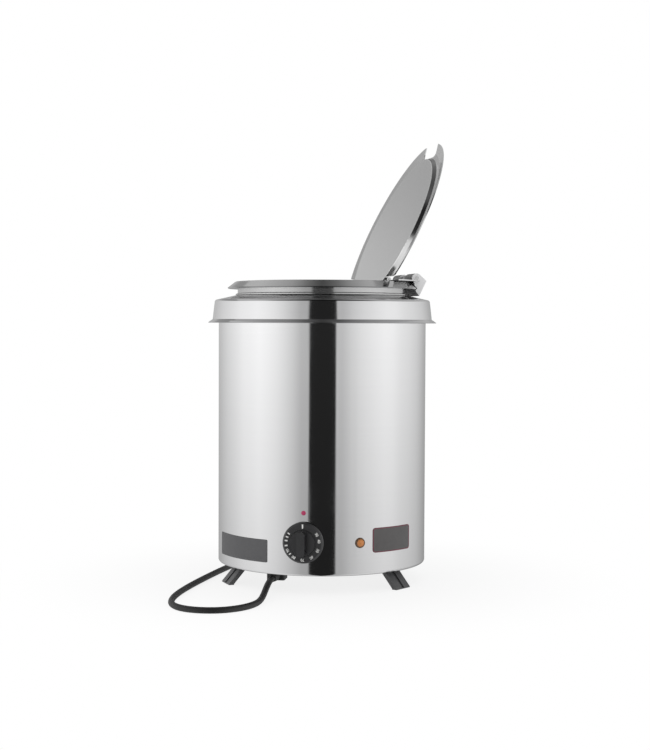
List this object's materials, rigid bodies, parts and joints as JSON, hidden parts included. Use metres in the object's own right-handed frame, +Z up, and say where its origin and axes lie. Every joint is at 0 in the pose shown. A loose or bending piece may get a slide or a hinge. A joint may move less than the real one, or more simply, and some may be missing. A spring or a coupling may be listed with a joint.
{
  "type": "soup kettle",
  "caption": "Stainless soup kettle on splayed black feet, with a heated water bath, a lift-out pot, a folding hinged cover, a dial and a lamp.",
  "frame": {"origin": "the point on the table under the kettle's axis, midway between the feet's soles", "axes": "+Z up along the kettle's axis; the dial faces -Y; +X is to the right as the dial is faced"},
  "size_m": [0.3057, 0.5246, 0.5528],
  "materials": {
    "polished_steel": "polished",
    "plain_steel": "satin",
    "pot_steel": "polished",
    "cover_steel": "satin",
    "bright_chrome": "polished",
    "black_plastic": "matte",
    "knob_plastic": "satin",
    "amber_lens": "gloss",
    "badge_grey": "satin",
    "notice_grey": "satin",
    "spreader_alloy": "satin",
    "bulb_brass": "satin",
    "pale_plastic": "matte",
    "black_rubber": "satin"
  },
  "bodies": {
    "kettle": {"outer_jacket": "polished_steel", "base_plate": "plain_steel", "foot_front_right": "black_plastic", "foot_front_left": "black_plastic", "foot_rear": "black_plastic", "foot_screws": "plain_steel", "drip_collar": "polished_steel", "water_bath": "plain_steel", "thermostat": "black_plastic", "thermostat_strap": "plain_steel", "lamp_bezel": "black_plastic", "lamp_lens": "amber_lens", "lamp_holder": "black_plastic", "badge_plate": "badge_grey", "notice_plate": "notice_grey", "heater_ring": "plain_steel", "heater_plate": "spreader_alloy", "heater_stud": "plain_steel", "heater_nut": "plain_steel", "sensing_bulb": "bulb_brass", "terminal_block": "pale_plastic", "lead_outlet": "black_plastic", "cord_boot": "black_rubber", "mains_cord": "black_rubber", "cord_coil": "black_rubber", "cord_tail": "black_rubber", "cord_tie": "black_plastic", "mains_plug": "black_rubber", "plug_pins": "bulb_brass"},
    "pot": {"insert_pot": "pot_steel", "hinge_bracket": "bright_chrome", "hinge_pin": "plain_steel"},
    "rear_cover": {"cover_rear": "cover_steel", "hinge_leaf": "bright_chrome", "leaf_rivets": "bright_chrome", "fold_pin": "plain_steel"},
    "flap": {"cover_flap": "cover_steel"},
    "knob": {"thermostat_knob": "knob_plastic", "thermostat_shaft": "plain_steel"}
  },
  "joints": [
    {"name": "pot_lift", "type": "slide", "parent": "kettle", "child": "pot", "axis": [0, 0, 1], "range_m": [0, 0.27]},
    {"name": "cover_hinge", "type": "hinge", "parent": "pot", "child": "rear_cover", "pos_m": [0.10334, 0.04133, 0.381], "axis": [-0.3714, 0.9285, 0], "range_deg": [0, 100]},
    {"name": "flap_fold", "type": "hinge", "parent": "rear_cover", "child": "flap", "pos_m": [0.06314, 0.02525, 0.3789], "axis": [-0.3714, 0.9285, 0], "range_deg": [-115.3, 0]},
    {"name": "dial_turn", "type": "hinge", "parent": "kettle", "child": "knob", "pos_m": [-0.00208, -0.13258, 0.0637], "axis": [0.0157, 0.9999, 0], "range_deg": [0, 290]}
  ]
}
